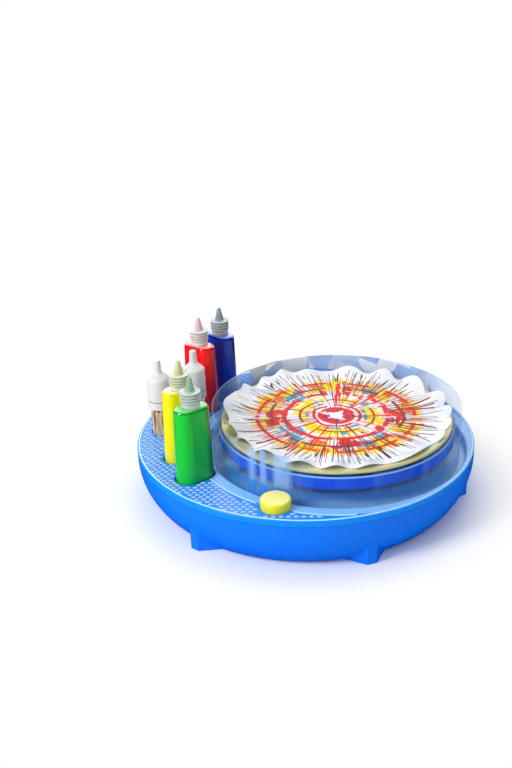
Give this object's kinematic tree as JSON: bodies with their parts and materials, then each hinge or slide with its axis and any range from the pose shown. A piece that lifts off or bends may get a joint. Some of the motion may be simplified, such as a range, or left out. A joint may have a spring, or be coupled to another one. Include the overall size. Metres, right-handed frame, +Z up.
{
  "type": "spin art machine",
  "caption": "Round blue battery spin art machine: a button spins a paper-carrying turntable inside a clear splash guard, with paint bottles standing in a crescent deck",
  "frame": {"origin": "middle of the round base, on the surface that its feet stand on", "axes": "+Z up, +X to the side where the turntable is set, +Y to the back; the button is at the front (-Y) and the paints are at the left (-X)"},
  "size_m": [0.29, 0.29, 0.1335],
  "materials": {
    "cover_blue": "moulded high gloss blue plastic, fine bumps on the crescent",
    "shell_blue": "moulded high gloss blue plastic",
    "tray_blue": "moulded satin deep blue plastic",
    "platter_cream": "moulded cream plastic",
    "art_paper": "white drawing paper with splashed paint",
    "clear_film": "clear flexible polyester film",
    "button_yellow": "moulded pale yellow plastic",
    "paint_green": "soft clear squeeze bottle filled with green paint",
    "cap_green": "translucent tinted cap plastic",
    "paint_yellow": "soft clear squeeze bottle filled with yellow paint",
    "cap_yellow": "translucent tinted cap plastic",
    "paint_red": "soft clear squeeze bottle filled with red paint",
    "cap_red": "translucent tinted cap plastic",
    "paint_blue": "soft clear squeeze bottle filled with blue paint",
    "cap_blue": "translucent tinted cap plastic",
    "metallic_copper": "clear bottle filled with copper metallic paint",
    "metallic_gold": "clear bottle filled with gold metallic paint",
    "metallic_silver": "clear bottle filled with silver metallic paint",
    "cap_white": "moulded opaque white plastic",
    "steel": "turned bright steel",
    "screw_steel": "zinc plated steel",
    "spring_steel": "drawn spring wire",
    "bush_brass": "turned brass",
    "gear_white": "moulded acetal",
    "frame_black": "moulded black plastic",
    "motor_steel": "drawn steel motor case",
    "cell_jacket": "printed cell jacket",
    "contact_nickel": "nickel plated spring steel",
    "door_blue": "moulded blue plastic",
    "switch_black": "moulded black plastic",
    "lead_red": "soft wire cover",
    "lead_black": "soft wire cover"
  },
  "bodies": {
    "base": {"top_cover": "cover_blue", "base_shell": "shell_blue", "upper_bush": "bush_brass", "lower_bush": "bush_brass", "idler_axle": "steel", "motor_case": "motor_steel", "motor_screws": "screw_steel", "gear_plate": "frame_black", "gear_plate_screws": "screw_steel", "button_spring": "spring_steel", "push_switch": "switch_black", "switch_bracket": "frame_black", "battery_cells": "cell_jacket", "contact_springs": "contact_nickel", "contact_plates": "contact_nickel", "battery_door": "door_blue", "battery_door_screw": "screw_steel", "cover_screws": "screw_steel", "lead_battery_switch": "lead_red", "lead_switch_motor": "lead_red", "lead_motor_battery": "lead_black"},
    "turntable": {"turntable_tray": "tray_blue", "platter_disc": "platter_cream", "art_paper": "art_paper", "spindle": "steel", "tray_screw": "screw_steel", "spindle_clip": "spring_steel", "spindle_gear": "gear_white"},
    "idler": {"idler_gear": "gear_white"},
    "rotor": {"motor_shaft": "steel", "motor_pinion": "bush_brass"},
    "button": {"power_button": "button_yellow", "button_clip": "spring_steel", "switch_plunger": "gear_white"},
    "guard": {"splash_guard": "clear_film"},
    "paint_green": {"bottle_green": "paint_green", "nozzle_green": "cap_green"},
    "paint_yellow": {"bottle_yellow": "paint_yellow", "nozzle_yellow": "cap_yellow"},
    "paint_red": {"bottle_red": "paint_red", "nozzle_red": "cap_red"},
    "paint_blue": {"bottle_blue": "paint_blue", "nozzle_blue": "cap_blue"},
    "metallic_copper": {"dropper_copper": "metallic_copper", "dropper_cap_copper": "cap_white"},
    "metallic_gold": {"dropper_gold": "metallic_gold", "dropper_cap_gold": "cap_white"},
    "metallic_silver": {"dropper_silver": "metallic_silver", "dropper_cap_silver": "cap_white"}
  },
  "joints": [
    {"name": "turntable_spin", "type": "hinge", "parent": "base", "child": "turntable", "pos_m": [0.026, -0.015, 0.06], "axis": [0, 0, 1], "continuous": true},
    {"name": "idler_spin", "type": "hinge", "parent": "base", "child": "idler", "pos_m": [0.0372, 0.0044, 0.03], "axis": [0, 0, 1], "continuous": true},
    {"name": "motor_spin", "type": "hinge", "parent": "base", "child": "rotor", "pos_m": [0.0288, 0.01895, 0.028], "axis": [0, 0, 1], "continuous": true},
    {"name": "button_press", "type": "slide", "parent": "base", "child": "button", "axis": [0, 0, -1], "range_m": [0, 0.003], "stiffness_N_per_m": 300, "springref_m": -0.004, "deforming": ["button_spring"]},
    {"name": "guard_lift", "type": "slide", "parent": "base", "child": "guard", "axis": [0, 0, 1], "range_m": [0, 0.1]},
    {"name": "lift_green", "type": "slide", "parent": "base", "child": "paint_green", "axis": [0, 0, 1], "range_m": [0, 0.11]},
    {"name": "lift_yellow", "type": "slide", "parent": "base", "child": "paint_yellow", "axis": [0, 0, 1], "range_m": [0, 0.11]},
    {"name": "lift_red", "type": "slide", "parent": "base", "child": "paint_red", "axis": [0, 0, 1], "range_m": [0, 0.11]},
    {"name": "lift_blue", "type": "slide", "parent": "base", "child": "paint_blue", "axis": [0, 0, 1], "range_m": [0, 0.11]},
    {"name": "lift_copper", "type": "slide", "parent": "base", "child": "metallic_copper", "axis": [0, 0, 1], "range_m": [0, 0.11]},
    {"name": "lift_gold", "type": "slide", "parent": "base", "child": "metallic_gold", "axis": [0, 0, 1], "range_m": [0, 0.11]},
    {"name": "lift_silver", "type": "slide", "parent": "base", "child": "metallic_silver", "axis": [0, 0, 1], "range_m": [0, 0.11]}
  ],
  "couplings": [
    {"joint": "idler_spin", "follows": "turntable_spin", "ratio": -3},
    {"joint": "motor_spin", "follows": "turntable_spin", "ratio": 9.6}
  ]
}
